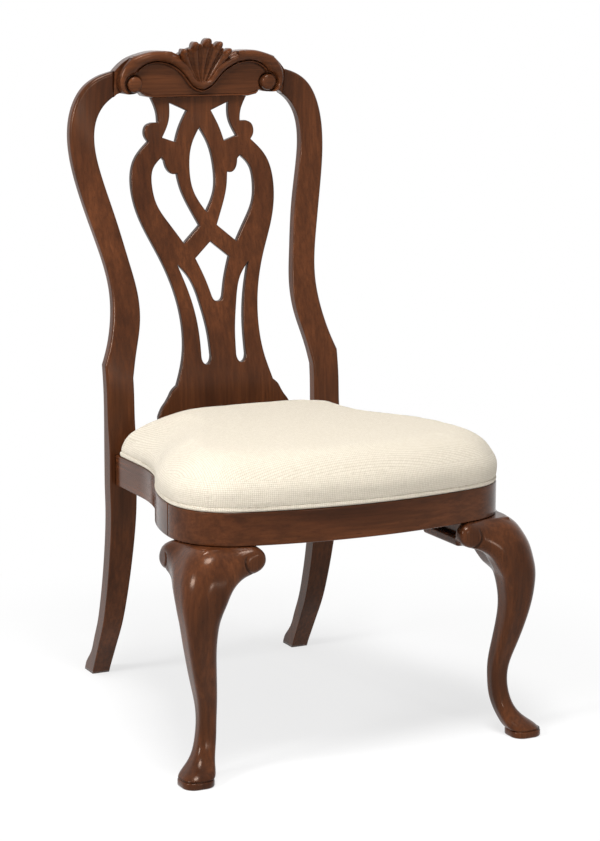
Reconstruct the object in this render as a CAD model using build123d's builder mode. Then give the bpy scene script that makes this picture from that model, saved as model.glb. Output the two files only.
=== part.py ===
"""Queen Anne side chair with an upholstered seat.

Millimetres, +Z up, the front of the chair faces -Y, +X to the viewer's right.
The origin is on the floor, under the middle of the chair.
"""

import os
from math import sqrt

from build123d import *

os.makedirs("parts", exist_ok=True)

# Height, seat and stance
overall_height = 1070.0
rail_top = 401.0
rail_height = 51.0
rail_thickness = 22.0
seat_depth = 506.0
toe_lead = 13.2
rear_rake = 146.0

# Plan of the seat, half of it, as arcs that run on from the middle of the front
bow_radius = 801.0
bow_sweep = 14.7
corner_radius = 90.5
corner_sweep = 38.7
cheek_radius = 104.4
cheek_sweep = 39.8
flank_radius = 337.0
flank_sweep = 22.0
flank_run = 21.3
waist_radius = 304.0
diagonal = 45.0

# Back posts, each one stick from the floor to the crest
post_inside = 165.0
post_width = 47.5
post_depth = 27.5
stile_depth = 21.0
post_foot_inside = 174.0
post_foot_width = 30.5
post_foot_depth = 37.0
stile_half_span = 231.5
lean_depth = 113.0

# Crest rail and its scrolls
crest_half_length = 154.0
crest_drop = 98.0
crest_height = 77.5
crest_proud = 6.0
crest_thickness = 28.0
band_proud = 11.0
volute_proud = 16.0
volute_radius = 16.5

# Shell carved over the middle of the crest rail
shell_height = 87.0
shell_proud = 20.0
shell_root_radius = 4.0
shell_lobe_radius = 9.5

# Splat and the shoe that it stands in
splat_half_width = 130.0
splat_thickness = 12.5
tenon_thickness = 7.0
tenon_length = 14.0
splat_tenon_half = 104.0
crest_tenon_half = 70.0
shoe_half_length = 134.0
shoe_height = 40.0
shoe_depth = 30.0
shoe_top_depth = 24.0
shoe_step = 12.0

# Cabriole legs
knee_width = 77.5
leg_reach = 53.0
leg_corner_bevel = 9.0
pad_height = 11.0
pad_width = 51.0
pad_corner_radius = 13.0
pad_groove_inset = 1.5
pad_groove_height = 2.0
knee_block_height = 100.0
knee_block_inset = 20.0
front_block_face = 35.0
side_block_face = 27.0
front_block_length = 78.0
side_block_length = 93.0

# Seat: board, foam, cover, welt and cambric
board_thickness = 12.0
welt_width = 7.4
cover_thickness = 1.6
cover_swell = 8.0
cushion_height = 66.0
cushion_corner_radius = 28.0
corner_wall_share = 0.85
foam_column = 20.0
cambric_thickness = 0.8
seat_gap = 0.5

# Blocks and fixings
front_block_reach = 45.0
rear_block_leg = 62.0
rail_tenon_thickness = 8.0
rail_tenon_height = 35.0
rail_tenon_length = 20.0
crest_end_tenon_length = 13.0
crest_end_tenon_height = 24.0
crest_end_tenon_rise = 22.0
bolt_radius = 4.0
bolt_bite = 25.0
bolt_tail = 3.0
bolt_inset = 36.0
nut_radius = 7.5
nut_height = 6.5
washer_radius = 9.0
washer_thickness = 1.6
counterbore_radius = 11.0
counterbore_depth = 14.0
overrun = 1.0

# Places that follow from the sizes above
overall_depth = toe_lead + seat_depth + rear_rake
front_y = toe_lead - overall_depth / 2
post_y = front_y + seat_depth
rail_bottom = rail_top - rail_height
rail_middle = rail_top - rail_height / 2
back_rise = overall_height - rail_top
post_outside = post_inside + post_width
waist_sweep = bow_sweep + corner_sweep + cheek_sweep + flank_sweep - 90
welt_top = rail_top + welt_width
board_inset = welt_width + cover_thickness
block_top = rail_top - cambric_thickness
crest_bottom = overall_height - crest_drop
shoe_top = rail_top + shoe_height
splat_rise = crest_bottom - shoe_top
foot_rake = rear_rake - post_foot_depth

# Lean of the back: depth behind the seat, up the rise of the back
lean_shares = [
    (0.0, 0.0),
    (0.055, 0.081),
    (0.071, 0.148),
    (0.135, 0.223),
    (0.237, 0.297),
    (0.365, 0.372),
    (0.506, 0.447),
    (0.649, 0.522),
    (0.782, 0.596),
    (0.893, 0.671),
    (0.970, 0.746),
    (1.0, 0.821),
    (0.973, 0.895),
    (0.876, 0.970),
    (0.814, 1.0),
]


def rise(share):
    """A height on the back, from its share of the rise above the seat rail."""
    return rail_top + share * back_rise


def lean_curve(forward):
    """The leaning line of the back, moved forward by a distance."""
    return Spline(
        *[(post_y + depth * lean_depth - forward, rise(z)) for depth, z in lean_shares]
    )


def back_slab(forward, thickness):
    """Side view of a leaning slab whose front is this far before the back's line."""
    with BuildSketch(Plane.YZ) as slab:
        with BuildLine():
            front = lean_curve(forward)
            rear = lean_curve(forward - thickness)
            Line(front @ 0, rear @ 0)
            Line(front @ 1, rear @ 1)
        make_face()
    return slab.sketch_local


def plan_arcs():
    """The arcs of half the seat plan, from the middle of the front to the post."""
    bow = JernArc((0, front_y), (1, 0), bow_radius, bow_sweep)
    corner = JernArc(bow @ 1, bow % 1, corner_radius, corner_sweep)
    cheek = JernArc(corner @ 1, corner % 1, cheek_radius, cheek_sweep)
    flank = JernArc(cheek @ 1, cheek % 1, flank_radius, flank_sweep)
    run = Line(flank @ 1, flank @ 1 + (flank % 1) * flank_run)
    waist = JernArc(run @ 1, run % 1, waist_radius, -waist_sweep)
    return corner, cheek, waist


def seat_face(inset, back_line):
    """Plan of the seat drawn in by an inset, with a straight back edge at a depth."""
    with BuildSketch() as plan:
        with BuildLine():
            corner, cheek, waist = plan_arcs()
            side = Line(waist @ 1, ((waist @ 1).X, back_line + inset))
            Line(side @ 1, (0, back_line + inset))
            mirror(about=Plane.YZ)
        make_face()
        if inset:
            offset(amount=-inset, kind=Kind.INTERSECTION, mode=Mode.REPLACE)
    return plan.sketch_local


with BuildLine() as plan_path:
    corner_arc, cheek_arc, waist_arc = plan_arcs()
seat_corner = corner_arc @ ((diagonal - bow_sweep) / corner_sweep)
rail_joint = cheek_arc @ 1
rail_end_x = (waist_arc @ 1).X
rear_corner_radius = min(cushion_corner_radius, corner_wall_share * (post_y - (waist_arc @ 1).Y))


def corner_place(along, height):
    """A point on the corner's diagonal, this far outside the seat's corner."""
    step = along / sqrt(2)
    return (seat_corner.X + step, seat_corner.Y - step, height)


# Right-hand tenons: side rail into the post and the front rail, rear rail, crest rail
side_tenon_places = [
    (rail_end_x - rail_thickness / 2, post_y, rail_middle),
    (rail_joint.X - rail_thickness / 2, rail_joint.Y, rail_middle),
]
with BuildPart() as side_tenons:
    with Locations(*side_tenon_places):
        Box(rail_tenon_thickness, 2 * rail_tenon_length, rail_tenon_height)

with BuildPart() as rear_tenon:
    with Locations((post_inside, post_y + rail_thickness / 2, rail_middle)):
        Box(2 * rail_tenon_length, rail_tenon_thickness, rail_tenon_height)

crest_end_tenon_place = (
    crest_half_length,
    post_y + lean_depth + stile_depth / 2,
    crest_bottom + crest_end_tenon_rise,
)
with BuildPart() as crest_end_tenon:
    with Locations(crest_end_tenon_place):
        Box(2 * crest_end_tenon_length, tenon_thickness, crest_end_tenon_height)

# Leg bolts: hanger bolts through the front blocks, with a washer and a nut
bolt_seat = block_top - counterbore_depth
bolt_shank = bolt_bite + bolt_seat - rail_bottom
on_base = (Align.CENTER, Align.CENTER, Align.MIN)
with BuildPart() as leg_bolts:
    with Locations(corner_place(-bolt_inset, rail_bottom - bolt_bite)):
        Cylinder(
            bolt_radius,
            bolt_shank + washer_thickness + nut_height + bolt_tail,
            align=on_base,
        )
    with Locations(corner_place(-bolt_inset, bolt_seat)):
        Cylinder(washer_radius, washer_thickness, align=on_base)
    with BuildSketch(Plane(origin=corner_place(-bolt_inset, bolt_seat + washer_thickness))):
        RegularPolygon(nut_radius, 6)
    extrude(amount=nut_height)
    mirror(about=Plane.YZ)

# Seat rails: one ring in plan, cut where the front and side rails meet
with BuildSketch() as rail_ring:
    add(seat_face(0, post_y))
    add(seat_face(rail_thickness, post_y + rail_thickness), mode=Mode.SUBTRACT)

with BuildPart() as front_seat_rail:
    with BuildSketch(Plane.XY.offset(rail_bottom)):
        add(rail_ring.sketch_local)
    extrude(amount=rail_height)
    split(bisect_by=Plane.XZ.offset(-rail_joint.Y), keep=Keep.TOP)
    add(side_tenons.part, mode=Mode.SUBTRACT)
    mirror(side_tenons.part, about=Plane.YZ, mode=Mode.SUBTRACT)

with BuildPart() as right_side_rail:
    with BuildSketch(Plane.XY.offset(rail_bottom)):
        add(rail_ring.sketch_local)
    extrude(amount=rail_height)
    split(bisect_by=Plane.XZ.offset(-rail_joint.Y), keep=Keep.BOTTOM)
    split(bisect_by=Plane.YZ, keep=Keep.TOP)
    add(side_tenons.part)

with BuildPart() as rear_seat_rail:
    with BuildSketch(Plane.XY.offset(rail_bottom)):
        with Locations((0, post_y + rail_thickness / 2)):
            Rectangle(2 * post_inside, rail_thickness)
    extrude(amount=rail_height)
    add(rear_tenon.part)
    mirror(rear_tenon.part, about=Plane.YZ)

# Back post: the side view of the stick crossed with its front view
leg_rake_shares = [
    (0.0, 0.886),
    (0.037, 0.771),
    (0.138, 0.617),
    (0.248, 0.489),
    (0.358, 0.383),
    (0.505, 0.271),
    (0.661, 0.186),
]
leg_toe_shares = [(0.872, 0.071), (1.0, 0.0)]
heel_shares = [(0.815, 0.097), (0.959, 0.040), (1.0, 0.0)]
straight_down = (0, -1)
toe_run = (1, -2)
heel_run = (1, -4)
stile_outer_shares = [
    (0.760, 0.911),
    (0.877, 0.885),
    (0.959, 0.839),
    (1.0, 0.753),
    (0.959, 0.641),
    (0.868, 0.514),
    (0.808, 0.395),
    (0.821, 0.330),
    (0.886, 0.245),
]
stile_inner_shares = [
    (0.708, 0.846),
    (0.786, 0.809),
    (0.816, 0.750),
    (0.786, 0.674),
    (0.713, 0.571),
    (0.648, 0.459),
    (0.613, 0.380),
    (0.622, 0.315),
    (0.678, 0.238),
]
stile_shoulder_share = 0.921
stile_armpit_share = 0.857
stile_stop_share = 0.217
stile_start_share = 0.182


def stile_points(shares):
    """Outline points of a stile in the front view."""
    return [(x * stile_half_span, rise(z)) for x, z in shares]


def rake_points(shares, span, behind):
    """Points of the rear leg's side view, this far behind its front edge."""
    return [(post_y + y * span + behind, z * rail_bottom) for y, z in shares]


with BuildPart() as right_back_post:
    with BuildSketch(Plane.YZ):
        with BuildLine():
            leg_front = Spline(
                *rake_points(leg_rake_shares, foot_rake, 0),
                *rake_points(leg_toe_shares, foot_rake, 0),
                tangents=(straight_down, toe_run),
            )
            leg_rear = Spline(
                *rake_points(leg_rake_shares, foot_rake, post_depth),
                *rake_points(heel_shares, rear_rake, 0),
                tangents=(straight_down, heel_run),
            )
            Line(leg_front @ 0, (post_y, rail_top))
            Line(leg_rear @ 0, (post_y + post_depth, rail_top))
            stile_front = lean_curve(0)
            stile_rear = Spline(
                (post_y + post_depth, rail_top),
                *[(post_y + y * lean_depth + stile_depth, rise(z)) for y, z in lean_shares[2:]],
            )
            Line(stile_front @ 1, stile_rear @ 1)
            Line(leg_rear @ 1, leg_front @ 1)
        make_face()
    extrude(amount=overall_height, both=True)
    with BuildSketch(Plane.XZ):
        with BuildLine():
            outer = Spline(
                (crest_half_length, rise(stile_shoulder_share)),
                *stile_points(stile_outer_shares),
                (post_outside, rise(stile_stop_share)),
            )
            inner = Spline(
                (crest_half_length, rise(stile_armpit_share)),
                *stile_points(stile_inner_shares),
                (post_inside, rise(stile_start_share)),
            )
            Line(outer @ 0, inner @ 0)
            outer_leg = Polyline(
                outer @ 1,
                (post_outside, rail_bottom),
                (post_foot_inside + post_foot_width, 0),
            )
            inner_leg = Polyline(inner @ 1, (post_inside, rail_bottom), (post_foot_inside, 0))
            Line(outer_leg @ 1, inner_leg @ 1)
        make_face()
    extrude(amount=overall_height, both=True, mode=Mode.INTERSECT)
    add(side_tenons.part, mode=Mode.SUBTRACT)
    add(rear_tenon.part, mode=Mode.SUBTRACT)
    add(crest_end_tenon.part, mode=Mode.SUBTRACT)

# Splat: pierced board that leans with the posts
splat_base_shares = [(0.938, 0.0), (0.938, 0.026), (0.885, 0.053), (0.831, 0.070)]
splat_ogee_shares = [(0.785, 0.088), (0.746, 0.105), (0.677, 0.120)]
splat_side_shares = [
    (0.677, 0.120),
    (0.573, 0.201),
    (0.535, 0.291),
    (0.577, 0.391),
    (0.731, 0.510),
    (0.931, 0.626),
    (1.0, 0.718),
    (0.923, 0.810),
    (0.723, 0.864),
]
knob_shares = [(0.723, 0.864), (0.769, 0.893), (0.662, 0.923)]
neck_shares = [(0.577, 0.923), (0.585, 0.949), (0.669, 1.0)]
oval_shares = [(0.0, 0.904), (0.108, 0.857), (0.173, 0.774), (0.146, 0.708), (0.0, 0.643)]
kite_shares = [(0.238, 0.503), (0.131, 0.434), (0.077, 0.385)]
kite_top_share = 0.552
kite_low_share = 0.370
slot_inner_shares = [(0.5, 0.486), (0.365, 0.446), (0.254, 0.365), (0.192, 0.277), (0.177, 0.203)]
slot_round_shares = [(0.177, 0.203), (0.242, 0.179), (0.312, 0.203)]
slot_outer_shares = [(0.312, 0.203), (0.315, 0.280), (0.369, 0.378), (0.5, 0.486)]
eye_outer_shares = [
    (0.369, 0.550),
    (0.538, 0.612),
    (0.677, 0.671),
    (0.715, 0.724),
    (0.677, 0.782),
    (0.554, 0.814),
]
eye_knob_shares = [(0.515, 0.804), (0.477, 0.774), (0.354, 0.763)]
eye_inner_shares = [(0.354, 0.763), (0.323, 0.718), (0.231, 0.658), (0.123, 0.602)]
spandrel_top_shares = [(0.415, 0.983), (0.169, 0.957)]
spandrel_inner_shares = [(0.169, 0.957), (0.292, 0.898), (0.342, 0.861)]
spandrel_outer_shares = [(0.523, 0.876), (0.423, 0.930), (0.415, 0.983)]


def splat_points(shares):
    """Outline points of the splat in the front view."""
    return [(x * splat_half_width, shoe_top + z * splat_rise) for x, z in shares]


# Tenons at the foot and the head of the splat
tenon_set = (splat_thickness - tenon_thickness) / 2
with BuildPart() as splat_tenons:
    with BuildSketch(Plane.YZ):
        add(back_slab(-tenon_set, tenon_thickness))
    extrude(amount=splat_half_width, both=True)
    with BuildSketch(Plane.XZ):
        with Locations((0, shoe_top - tenon_length / 2)):
            Rectangle(2 * splat_tenon_half, tenon_length)
        with Locations((0, crest_bottom + tenon_length / 2)):
            Rectangle(2 * crest_tenon_half, tenon_length)
    extrude(amount=overall_depth, both=True, mode=Mode.INTERSECT)

with BuildPart() as back_splat:
    with BuildSketch(Plane.YZ):
        add(back_slab(0, splat_thickness))
    extrude(amount=splat_half_width + overrun, both=True)
    with BuildSketch(Plane.XZ):
        with BuildLine():
            base = Polyline(*splat_points(splat_base_shares))
            ogee = Polyline(base @ 1, *splat_points(splat_ogee_shares))
            side = Spline(*splat_points(splat_side_shares))
            knob = ThreePointArc(*splat_points(knob_shares))
            neck = Spline(*splat_points(neck_shares))
            Line(knob @ 1, neck @ 0)
            Line(neck @ 1, (0, crest_bottom))
            Line(base @ 0, (0, shoe_top))
            mirror(about=Plane.YZ)
        make_face()
    extrude(amount=overall_depth, both=True, mode=Mode.INTERSECT)
    with BuildSketch(Plane.XZ):
        with BuildLine():
            Spline(*splat_points(oval_shares))
            mirror(about=Plane.YZ)
        make_face()
        with BuildLine():
            cheek = Spline(*splat_points(kite_shares))
            Line((0, shoe_top + kite_top_share * splat_rise), cheek @ 0)
            TangentArc(cheek @ 1, (0, shoe_top + kite_low_share * splat_rise), tangent=cheek % 1)
            mirror(about=Plane.YZ)
        make_face()
    extrude(amount=overall_depth, both=True, mode=Mode.SUBTRACT)
    with BuildSketch(Plane.XZ):
        with BuildLine():
            Spline(*splat_points(slot_inner_shares))
            ThreePointArc(*splat_points(slot_round_shares))
            Spline(*splat_points(slot_outer_shares))
        make_face()
        with BuildLine():
            rim = Spline(*splat_points(eye_outer_shares))
            lobe = Spline(*splat_points(eye_knob_shares))
            Line(rim @ 1, lobe @ 0)
            limb = Spline(*splat_points(eye_inner_shares))
            Line(limb @ 1, rim @ 0)
        make_face()
        with BuildLine():
            Line(*splat_points(spandrel_top_shares))
            left = Spline(*splat_points(spandrel_inner_shares))
            right = Spline(*splat_points(spandrel_outer_shares))
            Line(left @ 1, right @ 0)
        make_face()
        mirror(about=Plane.YZ)
    extrude(amount=overall_depth, both=True, mode=Mode.SUBTRACT)
    add(splat_tenons.part)

# Shoe: moulded block on the rear rail that takes the splat's foot
with BuildPart() as splat_shoe:
    with BuildSketch(Plane.YZ):
        with Locations((post_y, rail_top)):
            Rectangle(shoe_depth, shoe_step, align=(Align.MIN, Align.MIN))
        with Locations((post_y + (shoe_depth - shoe_top_depth) / 2, rail_top)):
            Rectangle(shoe_top_depth, shoe_height, align=(Align.MIN, Align.MIN))
    extrude(amount=shoe_half_length, both=True)
    add(splat_tenons.part, mode=Mode.SUBTRACT)

# Crest rail: board, raised band and volutes on the same leaning line
crest_low_shares = [(0.0, 0.0), (0.565, 0.0), (0.656, 0.039), (0.701, 0.129)]
crest_armpit_shares = [(0.870, 0.116), (0.948, 0.103), (1.0, 0.033)]
crest_top_shares = [
    (1.0, 0.582),
    (0.948, 0.697),
    (0.844, 0.852),
    (0.721, 0.942),
    (0.604, 0.994),
    (0.481, 1.0),
    (0.364, 0.968),
    (0.279, 0.890),
]
crest_arch_shares = [(0.279, 0.890), (0.143, 1.084), (0.0, 1.142)]
band_low_shares = [
    (0.838, 0.516),
    (0.721, 0.665),
    (0.604, 0.729),
    (0.487, 0.723),
    (0.364, 0.645),
    (0.247, 0.484),
    (0.136, 0.232),
    (0.0, 0.103),
]
band_top_shares = [
    (0.929, 0.620),
    (0.844, 0.800),
    (0.721, 0.895),
    (0.604, 0.948),
    (0.481, 0.948),
    (0.390, 0.903),
    (0.279, 0.839),
    (0.149, 0.645),
    (0.097, 0.426),
    (0.0, 0.335),
]
volute_share = (0.799, 0.323)
lobe_shares = [(0.0, 0.891), (0.270, 0.816), (0.530, 0.660)]


def crest_points(shares):
    """Outline points of the crest rail in the front view."""
    return [(x * crest_half_length, crest_bottom + z * crest_height) for x, z in shares]


shell_root_z = overall_height - shell_height


def lobe_centres():
    """Centres of the shell's lobes from one side to the other."""
    half = [(x * shell_height, shell_root_z + z * shell_height) for x, z in lobe_shares]
    return [(-x, z) for x, z in reversed(half[1:])] + half


def lobe_face(centre, tip_radius):
    """One lobe of the shell: a round tip that tapers to the root."""
    with BuildSketch() as lobe:
        with Locations((0, shell_root_z + shell_root_radius)):
            Circle(shell_root_radius)
        with Locations(centre):
            Circle(tip_radius)
        make_hull()
    return lobe.sketch_local


def fan_face(tip_radius):
    """Front view of the shell: a fan of lobes that meet at the root."""
    with BuildSketch() as fan:
        for centre in lobe_centres():
            add(lobe_face(centre, tip_radius))
    return fan.sketch_local


def fronted(outline, forward, thickness):
    """A leaning slab crossed with an outline in the front view."""
    with BuildPart() as piece:
        with BuildSketch(Plane.YZ):
            add(back_slab(forward, thickness))
        extrude(amount=stile_half_span, both=True)
        with BuildSketch(Plane.XZ):
            add(outline)
        extrude(amount=overall_depth, both=True, mode=Mode.INTERSECT)
    return piece.part


with BuildSketch(Plane.XZ) as crest_outline:
    with BuildLine():
        low = Polyline(*crest_points(crest_low_shares))
        armpit = Polyline(*crest_points(crest_armpit_shares))
        Line(low @ 1, armpit @ 0)
        top = Spline(*crest_points(crest_top_shares))
        arch = Spline(*crest_points(crest_arch_shares))
        Line(armpit @ 1, top @ 0)
        mirror(about=Plane.YZ)
    make_face()

with BuildSketch(Plane.XZ) as band_outline:
    with BuildLine():
        lip = Spline(*crest_points(band_low_shares))
        crown = Spline(*crest_points(band_top_shares))
        Line(lip @ 0, crown @ 0)
        mirror(about=Plane.YZ)
    make_face()

with BuildSketch(Plane.XZ) as volute_outline:
    with Locations(*crest_points([volute_share])):
        Circle(volute_radius)
    mirror(about=Plane.YZ)

with BuildPart() as crest_rail:
    add(fronted(crest_outline.sketch_local, crest_proud, crest_thickness))
    add(fronted(band_outline.sketch_local, band_proud, band_proud))
    add(fronted(volute_outline.sketch_local, volute_proud, volute_proud))
    add(crest_end_tenon.part)
    mirror(crest_end_tenon.part, about=Plane.YZ)
    add(splat_tenons.part, mode=Mode.SUBTRACT)

with BuildPart() as crest_shell:
    add(fronted(fan_face(shell_lobe_radius), shell_proud, shell_proud - crest_proud))
    add(crest_rail.part, mode=Mode.SUBTRACT)

# Cabriole leg: rounded square sections along the corner's diagonal
leg_station_shares = [
    (1.0, -0.396, 0.852, 1.0),
    (0.966, -0.140, 0.961, 1.0),
    (0.930, 0.019, 1.0, 1.0),
    (0.866, 0.280, 0.961, 1.0),
    (0.783, 0.545, 0.832, 1.0),
    (0.700, 0.679, 0.697, 0.929),
    (0.614, 0.679, 0.594, 0.857),
    (0.500, 0.530, 0.507, 0.75),
    (0.386, 0.327, 0.432, 0.643),
    (0.300, 0.200, 0.379, 0.571),
    (0.214, 0.215, 0.368, 0.571),
    (0.140, 0.350, 0.403, 0.643),
    (0.080, 0.635, 0.516, 0.714),
    (0.037, 0.953, 0.658, 0.857),
]

with BuildPart() as right_front_leg:
    for z, along, width, corner in leg_station_shares:
        with BuildSketch(Plane(origin=corner_place(along * leg_reach, z * rail_bottom))) as slice:
            Rectangle(width * knee_width, width * knee_width)
            chamfer(slice.vertices(), corner * leg_corner_bevel)
    loft(ruled=True)
    with BuildSketch(Plane(origin=corner_place(leg_reach, pad_height))):
        RectangleRounded(
            pad_width - 2 * pad_groove_inset,
            pad_width - 2 * pad_groove_inset,
            pad_corner_radius - pad_groove_inset,
        )
    extrude(amount=pad_groove_height)
    with BuildSketch(Plane(origin=corner_place(leg_reach, 0))):
        RectangleRounded(pad_width, pad_width, pad_corner_radius)
    extrude(amount=pad_height)
    add(leg_bolts.part, mode=Mode.SUBTRACT)

# Knee blocks: scrolled brackets on both sides of each knee
front_ear_shares = [
    (0.755, 0.0),
    (0.901, 0.084),
    (1.0, 0.210),
    (0.901, 0.370),
    (0.755, 0.404),
    (0.550, 0.450),
    (0.345, 0.534),
    (0.178, 0.655),
    (0.050, 0.825),
]
side_ear_shares = [
    (0.558, 0.0),
    (0.720, 0.080),
    (0.977, 0.210),
    (1.0, 0.350),
    (0.902, 0.455),
    (0.735, 0.470),
    (0.537, 0.610),
    (0.365, 0.845),
]


def ear_face(start, step, shares):
    """Side view of a knee block that runs out from a start along the rail."""
    with BuildSketch() as face:
        with BuildLine():
            edge = Spline(
                *[(start + x * step, rail_bottom - z * knee_block_height) for x, z in shares]
            )
            Polyline(edge @ 0, (start, rail_bottom), (start, (edge @ 1).Y), edge @ 1)
        make_face()
    return face.sketch_local


with BuildPart() as right_front_knee_block:
    with BuildSketch(Plane.XZ.offset(front_block_face - seat_corner.Y)):
        add(ear_face(seat_corner.X, -front_block_length, front_ear_shares))
    extrude(amount=-front_block_face - knee_block_inset)
    add(right_front_leg.part, mode=Mode.SUBTRACT)

with BuildPart() as right_side_knee_block:
    with BuildSketch(Plane.YZ.offset(seat_corner.X + side_block_face)):
        add(ear_face(seat_corner.Y, side_block_length, side_ear_shares))
    extrude(amount=-side_block_face - knee_block_inset)
    add(right_front_leg.part, mode=Mode.SUBTRACT)
    add(right_front_knee_block.part, mode=Mode.SUBTRACT)

# Corner blocks inside the seat frame
block_size = 2 * seat_depth


def block_plan(place, turn):
    """Plan of a corner block: the inside of the frame beyond a slanting line."""
    with BuildSketch() as plan:
        add(seat_face(rail_thickness, post_y))
        with Locations(Location(place, (0, 0, turn))):
            Rectangle(
                block_size,
                block_size,
                align=(Align.MIN, Align.CENTER),
                mode=Mode.INTERSECT,
            )
    return plan.sketch_local


with BuildPart() as right_front_corner_block:
    with BuildSketch(Plane.XY.offset(rail_bottom)):
        add(block_plan(corner_place(-rail_thickness - front_block_reach, 0), -diagonal))
    extrude(amount=block_top - rail_bottom)
    with Locations(corner_place(-bolt_inset, bolt_seat)):
        Cylinder(counterbore_radius, counterbore_depth, align=on_base, mode=Mode.SUBTRACT)
    add(leg_bolts.part, mode=Mode.SUBTRACT)

rear_inner_x = rail_end_x - rail_thickness
with BuildPart() as right_rear_corner_block:
    with BuildSketch(Plane.XY.offset(rail_bottom)):
        add(block_plan((rear_inner_x - rear_block_leg, post_y, 0), diagonal))
    extrude(amount=block_top - rail_bottom)

# Seat board, foam and cover
with BuildPart() as seat_board:
    with BuildSketch(Plane.XY.offset(rail_top)):
        add(seat_face(board_inset, post_y - board_inset))
    extrude(amount=board_thickness)

cushion_level_shares = [
    (0.0, 0.25),
    (0.12, 0.85),
    (0.45, 1.0),
    (0.72, 0.35),
    (0.90, -1.0),
    (1.0, -3.4),
]
foam_level_shares = [(0.0, 0.25), (0.45, 1.0), (0.90, -1.0), (1.0, -3.4)]


def pillow(lining, level_shares):
    """The cushion's body as a stack of outlines, drawn in by a lining all round."""
    bottom = welt_top + lining
    rise = rail_top + cushion_height - lining - bottom
    with BuildPart() as body:
        for height, swell in level_shares:
            with BuildSketch(Plane.XY.offset(bottom + height * rise)) as plan:
                add(seat_face(lining - swell * cover_swell, post_y - seat_gap))
                fillet(plan.vertices().group_by(Axis.Y)[-1], rear_corner_radius)
        loft(ruled=True)
    return body.part


with BuildPart() as padding:
    add(pillow(cover_thickness, foam_level_shares))
    with BuildSketch(Plane.XY.offset(rail_top)):
        add(seat_face(board_inset, post_y - board_inset))
    extrude(amount=foam_column)

with BuildPart() as seat_cover:
    add(pillow(0, cushion_level_shares))
    with BuildSketch(Plane.XY.offset(rail_top)):
        add(seat_face(welt_width, post_y - welt_width))
    extrude(amount=foam_column)
    add(padding.part, mode=Mode.SUBTRACT)

with BuildPart() as seat_foam:
    add(padding.part)
    with BuildSketch(Plane.XY.offset(rail_top)):
        add(seat_face(board_inset, post_y - board_inset))
    extrude(amount=board_thickness, mode=Mode.SUBTRACT)

# Welt: corded edge around the seat, on the rails
with BuildPart() as seat_welt:
    with BuildSketch(Plane.XY.offset(rail_top)):
        add(seat_face(0, post_y - seat_gap))
        add(seat_face(welt_width, post_y - welt_width), mode=Mode.SUBTRACT)
    extrude(amount=welt_width)

# Cambric under the board, inside the rails
with BuildPart() as dust_cover:
    with BuildSketch(Plane.XY.offset(block_top)):
        add(seat_face(rail_thickness + seat_gap, post_y - seat_gap))
    extrude(amount=cambric_thickness)

# Each piece under its own name, the left-hand ones mirrored from the right
pieces = {
    "front_seat_rail": front_seat_rail.part,
    "right_side_rail": right_side_rail.part,
    "rear_seat_rail": rear_seat_rail.part,
    "right_back_post": right_back_post.part,
    "back_splat": back_splat.part,
    "splat_shoe": splat_shoe.part,
    "crest_rail": crest_rail.part,
    "crest_shell": crest_shell.part,
    "right_front_leg": right_front_leg.part,
    "right_front_knee_block": right_front_knee_block.part,
    "right_side_knee_block": right_side_knee_block.part,
    "right_front_corner_block": right_front_corner_block.part,
    "right_rear_corner_block": right_rear_corner_block.part,
    "seat_board": seat_board.part,
    "seat_foam": seat_foam.part,
    "seat_cover": seat_cover.part,
    "seat_welt": seat_welt.part,
    "dust_cover": dust_cover.part,
    "leg_bolts": leg_bolts.part,
}
for name in [name for name in pieces if name.startswith("right_")]:
    pieces[name.replace("right_", "left_")] = mirror(pieces[name], about=Plane.YZ)

for name, piece in pieces.items():
    piece.label = name
    export_step(piece, f"parts/{name}.step")
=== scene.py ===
"""Looks for the Queen Anne side chair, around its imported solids, in metres."""
import math

import bmesh
import bpy
import numpy as np
from mathutils import Matrix, Vector


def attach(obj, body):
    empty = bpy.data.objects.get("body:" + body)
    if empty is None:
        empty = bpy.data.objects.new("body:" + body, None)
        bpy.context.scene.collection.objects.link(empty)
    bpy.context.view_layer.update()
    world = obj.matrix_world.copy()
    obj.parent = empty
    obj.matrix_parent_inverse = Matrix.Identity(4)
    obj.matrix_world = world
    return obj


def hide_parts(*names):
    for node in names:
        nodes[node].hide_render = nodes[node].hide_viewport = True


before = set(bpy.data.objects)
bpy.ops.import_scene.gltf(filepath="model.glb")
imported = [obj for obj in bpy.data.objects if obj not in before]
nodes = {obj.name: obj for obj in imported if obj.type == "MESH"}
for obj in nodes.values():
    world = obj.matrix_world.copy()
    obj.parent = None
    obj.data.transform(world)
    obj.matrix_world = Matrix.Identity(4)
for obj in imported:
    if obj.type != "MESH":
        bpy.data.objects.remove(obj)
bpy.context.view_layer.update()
scene = bpy.context.scene
scene.view_settings.view_transform = "Standard"

# Camera: stands well back and a little above the seat, to the chair's left front.
# It has a long lens, so the four feet spread as they do in a catalogue picture.
camera_turn = math.radians(-26.508)
camera_tilt = math.radians(10.620)
camera_roll = math.radians(0.235)
camera_place = Vector((-1.6976, -3.4856, 1.2001))
focal_pixels, picture_height, film_width = 2465.6, 841, 36
camera = bpy.data.objects.new("camera", bpy.data.cameras.new("camera"))
scene.collection.objects.link(camera)
camera.data.lens = focal_pixels / picture_height * film_width
camera.data.sensor_width = film_width
camera.data.clip_end = 50
camera.matrix_world = (
    Matrix.Translation(camera_place)
    @ Matrix.Rotation(camera_turn, 4, "Z")
    @ Matrix.Rotation(math.pi / 2 - camera_tilt, 4, "X")
    @ Matrix.Rotation(camera_roll, 4, "Z")
)
scene.camera = camera


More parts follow.
